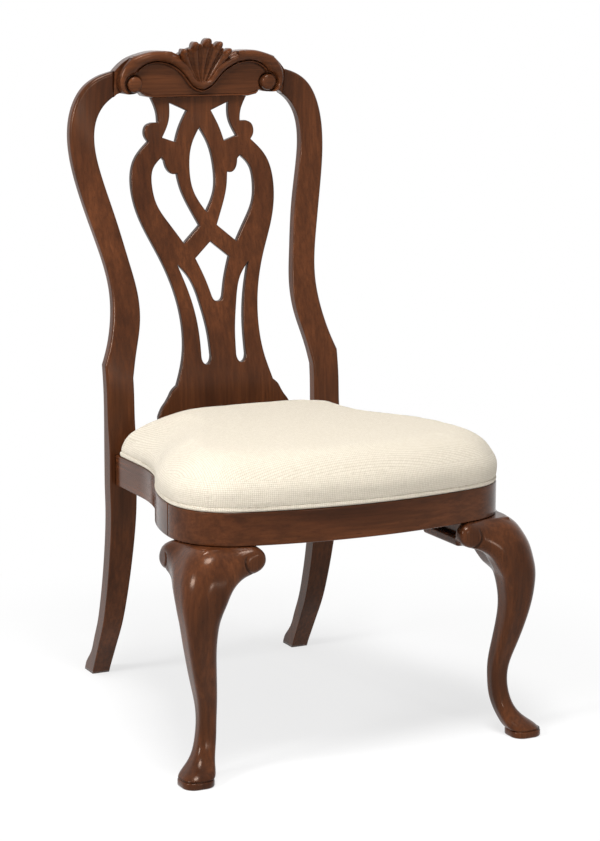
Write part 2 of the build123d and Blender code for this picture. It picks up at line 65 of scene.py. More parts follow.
# Show wood: mahogany-coloured hardwood under a red brown stain and a satin lacquer.
# The grain runs along each stick, so one finish is laid three ways: up, across and
# front to back. Painted shade darkens the carving's grooves and the splat's cut edges,
# laid on by a mask on the mesh.
stain_deep, stain_warm = (0.047, 0.0138, 0.0050, 1), (0.126, 0.0395, 0.0138, 1)
# The dark tint colours the fine streaks and pores, and is also the painted shade in grooves and on
# cut edges.
grain_and_shade_tint, lacquer_tint = (0.014, 0.0055, 0.0030, 1), (0.66, 0.50, 0.40, 1)
turn_across, turn_back = (0, math.pi / 2, 0), (math.pi / 2, 0, 0)


def new_material(name):
    """A material with nodes, its node tree and its shader."""
    material = bpy.data.materials.new(name)
    material.use_nodes = True
    tree = material.node_tree
    return material, tree, tree.nodes["Principled BSDF"]


def feed(node, inputs):
    """Fills a node's inputs, each with a number, a colour or a link from an output."""
    for name, value in inputs.items():
        if isinstance(value, bpy.types.NodeSocket):
            node.id_data.links.new(value, node.inputs[name])
        else:
            node.inputs[name].default_value = value


def added(tree, kind, inputs):
    """A new shader node with its inputs filled."""
    node = tree.nodes.new("ShaderNode" + kind)
    feed(node, inputs)
    return node


def mixed(tree, factor, first, second):
    """Two colours mixed by a factor."""
    mix = tree.nodes.new("ShaderNodeMix")
    mix.data_type = "RGBA"
    feed(mix, {"Factor": factor, "A": first, "B": second})
    return mix.outputs["Result"]


def ranged(tree, value, low, high, out_low, out_high):
    """A value moved from one range to another, and held inside it."""
    limits = {"From Min": low, "From Max": high, "To Min": out_low, "To Max": out_high}
    return added(tree, "MapRange", {"Value": value, **limits}).outputs["Result"]


def grain_group():
    """Stain over grain: broad figure, fine streaks and pores along the wood's Z."""
    group = bpy.data.node_groups.new("stained_grain", "ShaderNodeTree")
    socket = group.interface.new_socket
    socket("Along", in_out="INPUT", socket_type="NodeSocketVector")
    for name in ("Deep", "Warm", "Grain and Shade Tint"):
        socket(name, in_out="INPUT", socket_type="NodeSocketColor")
    socket("Color", in_out="OUTPUT", socket_type="NodeSocketColor")
    for name in ("Sheen", "Height"):
        socket(name, in_out="OUTPUT", socket_type="NodeSocketFloat")
    inlet = group.nodes.new("NodeGroupInput").outputs
    outlet = group.nodes.new("NodeGroupOutput")

    def streaks(scale, stretch, detail):
        """Noise drawn out along the grain."""
        size = {"Scale": (scale, scale, scale * stretch), "Vector": inlet["Along"]}
        drawn = added(group, "Mapping", size).outputs["Vector"]
        noise = {"Scale": 1.0, "Detail": detail, "Roughness": 0.6, "Vector": drawn}
        return added(group, "TexNoise", noise).outputs["Fac"]

    pore_dark, tint = 0.55, inlet["Grain and Shade Tint"]
    figure = ranged(group, streaks(16, 0.12, 3), 0.34, 0.68, 0, 1)
    fine = streaks(190, 0.035, 4)
    pores = ranged(group, streaks(950, 0.03, 2), 0.62, 0.70, 0, pore_dark)
    wood = mixed(group, figure, inlet["Deep"], inlet["Warm"])
    wood = mixed(group, ranged(group, fine, 0.38, 0.66, 0.42, 0), wood, tint)
    wood = mixed(group, pores, wood, tint)
    # Painted shade: the mesh's mask darkens grooves and cut edges towards the dark tint.
    painted_shade = group.nodes.new("ShaderNodeAttribute")
    painted_shade.attribute_name = "painted_shade"
    wood = mixed(group, painted_shade.outputs["Fac"], wood, tint)
    sheen = ranged(group, fine, 0.3, 0.7, 0.22, 0.15)
    height = ranged(group, pores, 0, pore_dark, 1, 0)
    feed(outlet, {"Color": wood, "Sheen": sheen, "Height": height})
    return group


stained_grain = grain_group()


def grained(name, turn, deep, warm, tint):
    """A material coloured by the grain group, its grain along Z after this turn."""
    material, tree, shader = new_material(name)
    place = tree.nodes.new("ShaderNodeTexCoord").outputs["Object"]
    along = added(tree, "Mapping", {"Rotation": turn, "Vector": place}).outputs["Vector"]
    grain = tree.nodes.new("ShaderNodeGroup")
    grain.node_tree = stained_grain
    feed(grain, {"Along": along, "Deep": deep, "Warm": warm, "Grain and Shade Tint": tint})
    feed(shader, {"Base Color": grain.outputs["Color"]})
    return material, tree, shader, grain.outputs


def show_wood(name, turn):
    """Lacquered wood, whose sheen and open pores follow the grain."""
    material, tree, shader, grain = grained(name, turn, stain_deep, stain_warm, grain_and_shade_tint)
    bump = added(tree, "Bump", {"Strength": 0.12, "Distance": 0.0002, "Height": grain["Height"]})
    feed(shader, {"Specular IOR Level": 0.28, "Specular Tint": lacquer_tint})
    feed(shader, {"Roughness": grain["Sheen"], "Normal": bump.outputs["Normal"]})
    return material


upright_wood = show_wood("upright_wood", (0, 0, 0))
cross_wood = show_wood("cross_wood", turn_across)
side_wood = show_wood("side_wood", turn_back)


# Back posts: each is one stick, raked back as a leg and leaning as a stile, sawn from
# a wide plank. Its edges are softened, most at the front outer corner of the stile.
post_line, seat_top, stile_thick, post_straight_depth = 186.6, 401, 21, 27.5
lean_heights = [
    455.2, 500, 550.2, 599.7, 649.9, 700, 750.2, 799.7, 849.9, 900, 950.3, 999.8, 1049.9, 1070
]
lean_depths = [6.2, 8.0, 15.3, 26.8, 41.2, 57.2, 73.3, 88.4, 100.9, 109.6, 113.0, 109.9, 99.0, 92.0]
straight_heights = [310, 330, 350, 375, seat_top]
rake_heights = [0, 25, 65, 95, 134, 171, 216, 270]
rake_depths = [109, 95, 72, 55, 39, 27, 15, 4]
heel_heights = [0, 14, 34, 65, 95, 134, 171, 216, 270]
heel_depths = [146, 140, 119, 99.5, 82.5, 66.5, 54.5, 42.5, 31.5]


def spline_through(knots, values, at):
    """Natural cubic spline: values at rising knots, read off at the places asked."""
    s, p = np.asarray(knots, float), np.asarray(values, float).reshape(len(knots), -1)
    h, n = np.diff(s), len(s)
    a, r = np.eye(n), np.zeros_like(p)
    i = np.arange(1, n - 1)
    a[i, i - 1], a[i, i], a[i, i + 1] = h[:-1], 2 * (h[:-1] + h[1:]), h[1:]
    slope = np.diff(p, axis=0) / h[:, None]
    r[i] = 6 * np.diff(slope, axis=0)
    m = np.linalg.solve(a, r)
    t = np.asarray(at, float).ravel()
    k = np.clip(np.searchsorted(s, t, side="right") - 1, 0, n - 2)
    step = h[k][:, None]
    b = (t[:, None] - s[k][:, None]) / step
    c = 1 - b
    out = c * p[k] + b * p[k + 1] + step**2 / 6 * ((c**3 - c) * m[k] + (b**3 - b) * m[k + 1])
    return out.reshape(np.shape(at) + (-1,)) if p.shape[1] > 1 else out.reshape(np.shape(at))


def steps_of(line):
    """Length of each step along a line of points."""
    return np.linalg.norm(np.diff(line, axis=0), axis=1)


def smooth_run(points, count):
    """A smooth line through points, at even steps of its chord length."""
    p = np.array(points, float)
    s = np.r_[0.0, np.cumsum(steps_of(p))]
    return spline_through(s, p, np.linspace(0, s[-1], count))


def tube_faces(grid, capped=True):
    """Quads of a tube of closed rings, with a flat face on each end."""
    rings, around = grid.shape[:2]
    i, j = np.meshgrid(np.arange(rings - 1) * around, np.arange(around), indexing="ij")
    k = (j + 1) % around
    faces = np.stack([i + j, i + k, i + around + k, i + around + j], -1).reshape(-1, 4).tolist()
    if capped:
        faces.append(list(range(around))[::-1])
        faces.append(list(range((rings - 1) * around, rings * around)))
    return faces


def new_mesh(name, points, faces):
    """A mesh from points in millimetres, all its faces turned outward."""
    mesh = bpy.data.meshes.new(name)
    mesh.from_pydata((np.reshape(points, (-1, 3)) / 1000).tolist(), [], faces)
    mesh.validate()
    work = bmesh.new()
    work.from_mesh(mesh)
    bmesh.ops.recalc_face_normals(work, faces=work.faces)
    work.to_mesh(mesh)
    work.free()
    return mesh


def new_piece(name, points, material, faces=None, painted_shade=None):
    """A piece from points in millimetres, a tube of closed rings unless it has faces."""
    mesh = new_mesh(name, points, tube_faces(points) if faces is None else faces)
    # The painted shade mask rides on the mesh as a point attribute.
    if painted_shade is not None:
        mask = mesh.attributes.new("painted_shade", "FLOAT", "POINT")
        mask.data.foreach_set("value", np.asarray(painted_shade, np.float32).ravel())
    mesh.shade_smooth()
    mesh.materials.append(material)
    piece = bpy.data.objects.new(name, mesh)
    scene.collection.objects.link(piece)
    return piece


def rounded_ring(width, depth, radii, steps=6):
    """Rounded oblongs: each corner a quarter circle of its own radius, flats between."""
    turn = np.linspace(0, math.pi / 2, steps)
    across, back = [], []
    for corner, (sx, sy) in enumerate(((1, -1), (1, 1), (-1, 1), (-1, -1))):
        c, s = (np.sin(turn), np.cos(turn)) if sx * sy < 0 else (np.cos(turn), np.sin(turn))
        r = radii[:, corner, None]
        across.append(width[:, None] * (1 + sx) / 2 - sx * r * (1 - c))
        back.append(depth[:, None] * (1 + sy) / 2 - sy * r * (1 - s))
    return np.hstack(across), np.hstack(back)


def both_sides(points):
    """Each side's name and points: the right one as drawn, the left one mirrored."""
    return ("right", points), ("left", points * (-1, 1, 1))


def even_shading(piece):
    """Lets the broad faces rule the shading at softened edges."""
    piece.modifiers.new("even_shading", "WEIGHTED_NORMAL").weight = 80


def back_line(z):
    """Depth of the back's front face at a height above the seat."""
    return post_line + spline_through([seat_top, 428] + lean_heights, [0, 2.5] + lean_depths, z)


def post_face(z, foot_heights, foot_depths, straight, stile):
    """Depth of a post's face at any height: raked, upright, then leaning and moved back."""
    heights = foot_heights + straight_heights + lean_heights
    depths = foot_depths + [straight] * len(straight_heights) + [d + stile for d in lean_depths]
    return post_line + spline_through(heights, depths, z)


def post_points():
    """Right post: rounded oblongs between its inner and outer outlines in the front view."""
    bend, inner_top, outer_top, plank = 350, 523, 546, 24
    low = np.r_[np.linspace(0, 30, 8)[:-1], np.linspace(30, inner_top, 60)]
    inner_low = np.c_[np.interp(low, [0, bend, inner_top], [174, 165, 165]), low]
    rise = np.where(low > bend, bend + (low - bend) * (outer_top - bend) / (inner_top - bend), low)
    outer_low = np.c_[np.interp(rise, [0, bend, outer_top], [204.5, 212.5, 212.5]), rise]
    outer_high = smooth_run([
        (212.5, outer_top), (205, 565), (190, 622), (187, 665), (201, 745), (222, 830),
        (231.5, 905), (222, 962), (203, 993), (176, 1010.5), (154, 1017.2),
    ], 110)
    inner_high = smooth_run([
        (165, inner_top), (157, 560), (144, 612), (142, 655), (150, 708), (165, 783),
        (182, 852), (189, 903), (182, 942), (164, 967), (154, 974.5),
    ], 110)
    outer = np.r_[outer_low, outer_high[1:]]
    inner = np.r_[inner_low, inner_high[1:]]
    chord = outer - inner
    width = np.linalg.norm(chord, axis=1)
    middle = (outer + inner)[:, 1] / 2
    soft = np.interp(middle, [300, 420, 560, 900], [2.2, 2.5, 6.0, 7.0])
    radii = np.c_[soft, soft * 0.9, soft * 0.8, soft * 0.55]
    radii[middle < 8] *= 0.6
    across, back = rounded_ring(width, np.ones_like(width) * plank, radii)
    share = across / width[:, None]
    x = inner[:, :1] + chord[:, :1] * share
    z = inner[:, 1:] + chord[:, 1:] * share
    front = post_face(z, rake_heights, rake_depths, 0, 0)
    rear = post_face(z, heel_heights, heel_depths, post_straight_depth, stile_thick)
    return np.stack([x, front + (rear - front) * back / plank, z], -1)


for side, points in both_sides(post_points()):
    post = new_piece(f"{side}_post", points, upright_wood)
    even_shading(post)
    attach(post, "root")
    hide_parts(f"{side}_back_post")


# Splat: one board, fretted into straps that loop round a pointed oval and a kite.
# It leans with the posts, and its fretted edges are rounded off, with painted shade darkening them.
splat_half, splat_foot, splat_rise, splat_thick, splat_soft = 130.0, 441.0, 531.0, 12.5, 2.6
fret_step, slice_step = 3.2, 9.0
flip = np.array([-1.0, 1.0])


def fret(*runs):
    """One outline in the front view, run after run, in thousandths of the board.

    A run of three or more points is a smooth line through them, a shorter one straight."""
    parts = []
    for run in runs:
        run = np.array(run) / 1000 * (splat_half, splat_rise) + (0, splat_foot)
        if len(run) > 2:
            run = smooth_run(run, max(8, int(steps_of(run).sum() / fret_step)))
        parts.append(run)
    line = np.concatenate(parts)
    return line[np.r_[True, steps_of(line) > 0.05]]


def closed_by_mirror(half):
    """A closed loop from its right half, whose ends lie on the middle line."""
    return np.r_[half[:-1], (half * flip)[::-1][:-1]]


def area_of(loop):
    """Area inside a closed outline, above zero where it runs counterclockwise."""
    x, z = loop[:, 0], loop[:, 1]
    return np.sum(x * np.roll(z, -1) - np.roll(x, -1) * z) / 2


def unit(vectors):
    """The same directions, each with a length of 1."""
    return vectors / np.linalg.norm(vectors, axis=1)[:, None]


def drawn_in(loop, amount):
    """The outline moved towards the wood, along the mean of its two edge normals."""
    ahead = unit(loop - np.roll(loop, 1, axis=0)) + unit(np.roll(loop, -1, axis=0) - loop)
    size = np.maximum(np.linalg.norm(ahead, axis=1)[:, None], 1e-6)
    return loop + ahead[:, ::-1] * flip / size * amount * np.clip(2 / size, 1, 1.6)


def mesh_points(mesh):
    """A mesh's points as rows."""
    flat = np.empty(len(mesh.vertices) * 3)
    mesh.vertices.foreach_get("co", flat)
    return flat.reshape(-1, 3)


def mesh_faces(mesh):
    """A mesh's faces, each with the numbers of its points."""
    return [polygon.vertices[:] for polygon in mesh.polygons]


def merged(parts):
    """Points and faces of several parts as one, their faces numbered on."""
    points, faces, count = [], [], 0
    for part, part_faces in parts:
        points.append(part.reshape(-1, 3))
        faces += [[k + count for k in face] for face in part_faces]
        count += len(points[-1])
    return np.concatenate(points), faces


def filled_face(loops):
    """Points and faces of the flat between an outline and its holes, filled by a curve."""
    flat = bpy.data.curves.new("filled_face", "CURVE")
    flat.dimensions = "2D"
    flat.fill_mode = "BOTH"
    for loop in loops:
        spline = flat.splines.new("POLY")
        spline.points.add(len(loop) - 1)
        level, weight = np.zeros(len(loop)), np.ones(len(loop))
        spline.points.foreach_set("co", np.c_[loop, level, weight].ravel())
        spline.use_cyclic_u = True
    holder = bpy.data.objects.new("filled_face", flat)
    filled = bpy.data.meshes.new_from_object(holder)
    points, faces = mesh_points(filled), mesh_faces(filled)
    bpy.data.objects.remove(holder)
    bpy.data.meshes.remove(filled)
    return points[:, :2], faces


def fretted_board(loops):
    """The splat's board: flat filled faces, and edges carried round a quarter circle.

    Each outline is stacked front to back, drawn in by soft*(1-sin) at the ends, and the
    two faces are filled. Then it is cut across at even steps, and set on the leaning line."""
    turn = np.linspace(0, math.pi / 2, 5)
    inset, depth = splat_soft * (1 - np.sin(turn)), splat_soft * (1 - np.cos(turn))
    edge = list(zip(np.r_[inset, inset[::-1]], np.r_[depth, splat_thick - depth[::-1]]))
    parts = []
    for loop in loops:
        rows = np.array([np.insert(drawn_in(loop, draw), 1, back, 1) for draw, back in edge])
        parts.append((rows, tube_faces(rows, capped=False)))
    flat, flat_faces = filled_face([drawn_in(loop, inset[0]) for loop in loops])
    parts += [(np.insert(flat, 1, back, 1), flat_faces) for back in (0.0, splat_thick)]
    points, faces = merged(parts)
    board = bpy.data.meshes.new("board")
    board.from_pydata(points.tolist(), [], faces)
    work = bmesh.new()
    work.from_mesh(board)
    bmesh.ops.remove_doubles(work, verts=work.verts, dist=0.02)
    for height in np.arange(splat_foot + slice_step, splat_foot + splat_rise, slice_step):
        cut = work.verts[:] + work.edges[:] + work.faces[:]
        bmesh.ops.bisect_plane(
            work, geom=cut, plane_co=(0, 0, height), plane_no=(0, 0, 1), dist=0.01
        )
    loose = [v for v in work.verts if not v.link_faces]
    bmesh.ops.delete(work, geom=loose, context="VERTS")
    work.to_mesh(board)
    work.free()
    points, faces = mesh_points(board), mesh_faces(board)
    bpy.data.meshes.remove(board)
    # Painted shade: none on the flat faces, rising across each rounding, and full on the cut walls.
    from_face = np.minimum(points[:, 1], splat_thick - points[:, 1])
    painted_shade = np.clip(from_face / (splat_soft * 0.8), 0, 1) * 0.75
    points[:, 1] += back_line(points[:, 2])
    return new_piece("splat", points, upright_wood, faces, painted_shade)


outline = closed_by_mirror(fret(
    [(0, 0), (938, 0)],
    [(938, 26)],
    [(938, 26), (885, 53), (831, 70)],
    [(785, 88), (746, 105), (677, 120)],
    [(677, 120), (573, 201), (535, 291), (577, 391), (731, 510), (931, 626), (1000, 718),
     (923, 810), (723, 864)],
    [(723, 864), (760, 878), (769, 897), (735, 915), (662, 923)],
    [(577, 923), (585, 949), (669, 1000)],
    [(660, 1004), (0, 1004)],
))
oval = closed_by_mirror(fret([(0, 904), (108, 857), (173, 774), (146, 708), (0, 643)]))
kite = closed_by_mirror(fret(
    [(0, 552)],
    [(238, 503), (131, 434), (77, 385)],
    [(77, 385), (45, 373), (0, 370)],
))
slot = fret(
    [(500, 486), (365, 446), (254, 365), (192, 277), (177, 203)],
    [(177, 203), (203, 185), (242, 179), (288, 185), (312, 203)],
    [(312, 203), (315, 280), (369, 378), (500, 486)],
)[:-1]
eye = fret(
    [(369, 550), (538, 612), (677, 671), (715, 724), (677, 782), (554, 814)],
    [(515, 804), (477, 774), (415, 762), (354, 763)],
    [(354, 763), (323, 718), (231, 658), (123, 602)],
    [(369, 550)],
)[:-1]
spandrel = fret(
    [(415, 983)],
    [(169, 957), (292, 898), (342, 861)],
    [(523, 876), (423, 930), (415, 983)],
)[:-1]
loops = [outline, oval, kite] + [hole * way for hole in (slot, eye, spandrel) for way in (1, flip)]
wound_left = [loop if area_of(loop) > 0 else loop[::-1] for loop in loops]
splat = fretted_board(wound_left[:1] + [hole[::-1] for hole in wound_left[1:]])
even_shading(splat)
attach(splat, "root")
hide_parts("back_splat")


# Crest rail: a board between the stiles, carved with a C-scroll band on each side.
# Each band ends in a round button, and the ground below it is sunk and left plain.
button_x, button_z, button_r = 122.0, 995.0, 13.5
crest_half, crest_thick, lip_end, bead, shell_side, moulding_end = 154, 22, 119, 3.4, 60, 104
button_near, bead_end, joint_x, end_z, end_radii = 112, 117, 128, 1001, (27.5, 25.5)


def distance_to(line, x, z):
    """Distance from each point to the nearest place on a line of points."""
    a, b = line[:-1], line[1:]
    d = b - a
    px, pz = x[..., None] - a[:, 0], z[..., None] - a[:, 1]
    t = np.clip((px * d[:, 0] + pz * d[:, 1]) / np.maximum((d**2).sum(1), 1e-9), 0, 1)
    return np.sqrt((px - t * d[:, 0]) ** 2 + (pz - t * d[:, 1]) ** 2).min(-1)


def rolled(gap, radius):
    """Drop of a rounded edge, at this distance in from the edge."""
    e = np.clip(gap / radius, 0, 1)
    return radius * (1 - np.sqrt(1 - (1 - e) ** 2))


def ridge(gap, width):
    """1 on a line, and falling off on both sides as e to the minus (gap/width) squared."""
    return np.exp(-((gap / width) ** 2))


def bow(t):
    """1 less t squared, and 0 outside -1 to 1."""
    return np.clip(1 - t**2, 0, 1)


lip_line = smooth_run([
    (0, 980), (8, 982), (21, 990), (38, 1009.5), (56, 1022), (75, 1028), (93, 1027.5),
    (108, 1021), (lip_end, 1011.5),
], 70)
rim_turn = np.radians(np.arange(100, 301, 8))
button_line = button_r * np.c_[-np.cos(rim_turn), np.sin(rim_turn)] + (button_x, button_z)
inner_line = smooth_run([
    (0, 998), (10, 1001), (16, 1008), (25, 1023), (43, 1037), (62, 1044.5),
], 40)
crest_top = smooth_run([
    (crest_half, 1017.2), (146, 1026), (130, 1038), (111, 1045), (93, 1049), (74, 1049.5),
    (56, 1047), (43, 1042),
], 60)[::-1]
band_end = smooth_run([
    (74, 1049.5), (93, 1049), (111, 1045), (130, 1037), (142, 1024), (149, 1008), (149, 993),
    (143, 982), (133, 976.5), (122, 976), (112, 980),
], 90)
arch_line = smooth_run([(0, 1058), (22, 1053), (43, 1042)], 20)
top_line = np.r_[arch_line[:-1], crest_top]
underside = np.array([
    (0, 972), (87, 972), (101, 975), (106.5, 980.5), (110, 982), (116, 979.5), (124, 978.5),
    (134, 979), (143, 981), (149, 979), (crest_half, 974.5),
])


def height_on(line, x):
    """Height of a line of points at a distance from the middle."""
    return np.interp(x, line[:, 0], line[:, 1])


def crest_relief(x, z):
    """How far the carving stands forward of the leaning line, and where painted shade darkens it.

    Between its lip and its outer edge the band is an arch: depth times the root of
    1-t*t, where t goes from -1 to 1 across it. It runs on round the button's outside."""
    low, top = height_on(underside, x), height_on(top_line, x)
    from_lip, from_inner = distance_to(lip_line, x, z), distance_to(inner_line, x, z)
    from_end, from_rim = distance_to(band_end, x, z), distance_to(button_line, x, z)
    from_button = np.hypot(x - button_x, z - button_z)
    inside = (z > height_on(lip_line, x)) | (x > lip_end)
    end_x = np.interp(z, [976, 982, 993, 1008, 1024, 1037], [134, 143, 149, 149, 142, 130])
    from_middle = np.hypot((x - button_x) / end_radii[0], (z - end_z) / end_radii[1])
    past_end = (x > end_x) & (from_middle > 1)
    upper = np.where(x < shell_side, np.minimum(from_inner, from_end), from_end)
    lower = np.where(x > button_near, np.minimum(from_lip, from_rim), from_lip)
    lower_gap = np.maximum(lower - bead, 0)
    t = (lower_gap - upper) / np.maximum(lower_gap + upper, 1e-3)
    arch = 7.2 + 9.0 * np.sqrt(bow(t)) ** 0.9
    lip = 12.2 - 1.6 * ((from_lip - bead / 2) / (bead / 2)) ** 2 - 1.0 * (from_lip < 0.6)
    band = np.where(lower < bead, np.where(x > bead_end, 8.0, lip), np.maximum(arch, 8.4))
    band = band - 1.5 * ridge(lower - bead, 0.8)
    moulding = 4.4 * np.sqrt(bow((z - low - 2.2) / 2.2)) * (x < moulding_end)
    field = 4.4 + moulding + 1.0 * np.clip(1 - from_lip / 9, 0, 1) ** 2
    relief = np.where(inside, band, field)
    in_shell = (z > height_on(inner_line, x)) & (x < shell_side)
    relief = np.where(in_shell, 5.5 + 3 * np.exp(-from_inner / 1.5), relief)
    knob = 15.5 - 1.0 * (from_button / button_r) ** 2 - rolled(button_r - from_button, 5.0)
    ring = ridge(from_button - button_r - 0.6, 1.3)
    outside = relief - 3.0 * ring * (x < joint_x)
    relief = np.where(from_button < button_r, np.maximum(knob, 7.5), outside)
    relief = np.where(past_end, 0.1, relief)
    relief = relief - rolled(np.minimum(z - low, top - z), 3.0) * ~past_end
    # Painted shade: dark lines along the lip, round the button, at the band's end and in the
    # moulding's groove.
    step = ridge(from_end, 1.2) * (x > joint_x)
    painted_shade = ridge(from_lip, 1.5) * ~inside + 0.75 * ring * ~past_end + 0.6 * step
    painted_shade = painted_shade + 0.7 * ridge(from_lip - 3.5, 0.9) * inside * (x < bead_end)
    painted_shade = painted_shade + 0.8 * ridge(z - low - 4.7, 0.8) * (x < moulding_end) * ~inside
    return relief, np.clip(painted_shade, 0, 0.85)


def crest_points():
    """Columns across the crest, each a closed loop: carved face, top, back and underside."""
    x = np.linspace(-crest_half, crest_half, 461)[:, None]
    low, top = height_on(underside, np.abs(x)), height_on(top_line, np.abs(x))
    v = np.linspace(0, 1, 110)
    z = low + (top - low) * (v - 0.02 * np.sin(2 * math.pi * v))
    relief, painted_shade = crest_relief(np.abs(x) + z * 0, z)
    front = np.stack([x + z * 0, back_line(z) - relief, z], -1)
    z_back = low + (top - low) * np.linspace(1, 0, 24)
    drop = rolled(np.minimum(z_back - low, top - z_back), 3.5)
    rear = np.stack([x + z_back * 0, back_line(z_back) + crest_thick - drop, z_back], -1)
    return np.hstack([front, rear]), np.hstack([painted_shade, z_back * 0])


crest_grid, crest_shade = crest_points()
crest = new_piece("crest", crest_grid, cross_wood, painted_shade=crest_shade)
crest.data.set_sharp_from_angle(angle=math.radians(60))
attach(crest, "root")
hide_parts("crest_rail")


# Shell: five round lobes that fan up from the middle of the crest and roll forward.
# Thin ribs run between the lobes, and all of them end in small beads at the root.
root_z, root_r, fan_reach, lobe_pitch = 983, 8, 79, math.radians(16.3)


def shell_points():
    """Fan in polar form: radius by angle, with |cos| lobes and narrow ribs between them."""
    a = np.linspace(-2.62, 2.62, 315)[:, None]
    side = np.abs(a)
    lobe = np.abs(np.cos(a * math.pi))
    tip = np.interp(side, [0, 1, 2, 2.62], [87.0, 84.5, 82.0, 72.0])
    knob = bow((a - np.round(a)) / np.interp(side, [0, 1, 2], [0.36, 0.27, 0.27]))
    rim = tip - np.interp(side, [0, 2], [10.5, 8.5]) * (1 - np.sqrt(knob))
    rib = ridge(side % 1 - 0.5, 0.09)
    rim = rim + 3.0 * rib * (side < 2.4)
    s = np.linspace(0, 1, 96)
    r = root_r + (rim - root_r) * (s**0.9)
    share = (r - root_r) / fan_reach
    amount = 2.0 + 11.0 * share
    dish = 11.0 - 2.6 * np.sin(share * math.pi) + 7.0 * share**2.2
    relief = dish + amount * (lobe**0.9 - 0.4) + 0.55 * amount * rib
    relief = relief + 2.6 * np.sqrt(bow((r - (tip - 7.5)) / 7.5) * knob)
    beads = 2.0 * ridge(r - 12.5, 2.0) * lobe
    relief = relief + beads - rolled(rim - r, 7.5) - 5.0 * np.clip((side - 2.45) / 0.17, 0, 1)
    relief = np.maximum(relief - rolled(r - root_r, 2.5) * 1.5, 4.5)
    x, z = r * np.sin(a * lobe_pitch), root_z + r * np.cos(a * lobe_pitch)
    # Painted shade: dark in the grooves between the lobes and the ribs, none on the last rim rows.
    groove = np.clip(1 - (lobe**0.75 + 0.7 * rib) * 1.5, 0, 0.9) * (s < 0.97)
    front = np.stack([x, back_line(z) - relief, z], -1)
    back = np.stack([x, back_line(z) - 3.0, z], -1)[:, ::-1][:, ::16]
    return np.hstack([front, back]), np.hstack([groove, back[..., 0] * 0])


shell_grid, shell_shade = shell_points()
shell = new_piece("shell", shell_grid, cross_wood, painted_shade=shell_shade)
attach(shell, "root")
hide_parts("crest_shell")


# Seat rails: hardwood, 22 mm thick and 51 mm deep, the front one bowed and turned round
# both front corners in one sweep. They are tenoned to the legs, their arrises eased.
rail_thick, rail_deep, rail_low, seat_front = 22, 51, 350, -319.4
seat_arcs = [(801, 14.7), (90.5, 38.7), (104.4, 39.8), (337, 22.0), (0, 21.3), (-304, 25.2)]
joint_run = sum(radius * math.radians(sweep) for radius, sweep in seat_arcs[:3])


def outward(heading):
    """The way square to a heading, away from the seat: its sine and minus its cosine."""
    return np.stack([np.sin(heading), -np.cos(heading)], -1)


def read_off(at, lengths, rows):
    """Rows of values along a line, read off at other lengths."""
    return np.stack([np.interp(at, lengths, column) for column in rows.T], 1)


def plan_line(start, end, step):
    """The seat's edge, right half, and the ways out from it, between two lengths along it.

    Along an arc from a point and a heading, a point is the start plus the radius times
    the change of (sin, -cos) of the heading. Radius 0 is a straight run of that length."""
    place, heading = np.array([0.0, seat_front]), 0.0
    rows, run = [], 0.0
    for radius, sweep in seat_arcs:
        length = abs(radius) * math.radians(sweep) if radius else sweep
        t = np.append(np.arange(0, length, step), length)
        if radius:
            way = heading + t / radius
            where = place + radius * (outward(way) - outward(heading))
        else:
            way = heading + t * 0
            where = place + t[:, None] * (math.cos(heading), math.sin(heading))
        rows.append(np.c_[where, outward(way), run + t][:-1])
        place, heading, run = where[-1], way[-1], run + length
    last = np.arange(place[1], post_line + step, step).clip(None, post_line)
    each = np.ones_like(last)
    rows.append(np.c_[place[0] * each, last, each, 0 * each, run + last - last[0]])
    rows = np.concatenate(rows)
    rows = rows[np.r_[True, np.diff(rows[:, 4]) > 1e-6]]
    end = rows[-1, 4] if end is None else end
    at = np.linspace(start, end, int((end - start) / step) + 2)
    line = read_off(at, rows[:, 4], rows[:, :4])
    return line[:, :2], unit(line[:, 2:])


def rail_points(where, way):
    """A rail: the eased oblong carried along the seat's edge, square to it."""
    each = np.ones(len(where))
    radii = each[:, None] * (2.2, 2.2, 1.0, 1.0)
    across, up = rounded_ring(each * rail_thick, each * rail_deep, radii)
    plan = where[:, None] + way[:, None] * (across - rail_thick)[..., None]
    return np.concatenate([plan, (rail_low + up)[..., None]], -1)


front_half = plan_line(0, joint_run, 3.0)
front_edge, front_way = (np.r_[(half * flip)[::-1], half[1:]] for half in front_half)
front_rail = new_piece("front_rail", rail_points(front_edge, front_way), cross_wood)
even_shading(front_rail)
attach(front_rail, "root")
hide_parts("front_seat_rail")
for side, grid in both_sides(rail_points(*plan_line(joint_run + 0.15, None, 5.0))):
    rail = new_piece(f"{side}_rail", grid, side_wood)
    even_shading(rail)
    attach(rail, "root")
    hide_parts(f"{side}_side_rail")
for name in ("rear_seat_rail", "splat_shoe"):
    nodes[name].material_slots[0].material = cross_wood


# Front legs: cabriole legs, with a knee block glued to each side of the knee. Knee and
# blocks are carved as one, and each block ends in a small scroll. Behind the front
# block an inner bar of two strips runs back under the rail.
corner_x, corner_y, knee_top, block_foot = 243.9, -269.8, 349.5, 262
leg_heights = [12, 18, 27, 40, 60, 85, 110, 145, 180, 215, 245, 268, 290, 310, 328, 341, 350]
leg_reach = [
    51.5, 45.2, 34.5, 23.3, 14.4, 10.4, 11.3, 20, 29.5, 36, 36.4, 32.5, 23.1, 14.3, 1.4, -8.5, -19.2
]
leg_widths = [
    51, 49.2, 40.5, 33, 29.6, 28.2, 29.9, 35, 40, 46, 54.5, 64.2, 74.5, 78.8, 80.5, 75, 66
]
leg_rounds = [21, 19, 14, 11, 9.5, 9, 9, 9.5, 11, 13.5, 18, 25, 32, 36, 36, 33, 28]
front_scroll = smooth_run([
    (237, 262), (230, 275), (223, 287), (213.5, 297), (200, 304.5), (185, 309.3), (173.5, 314),
    (165, 326), (167, 339), (177, knee_top),
], 70)
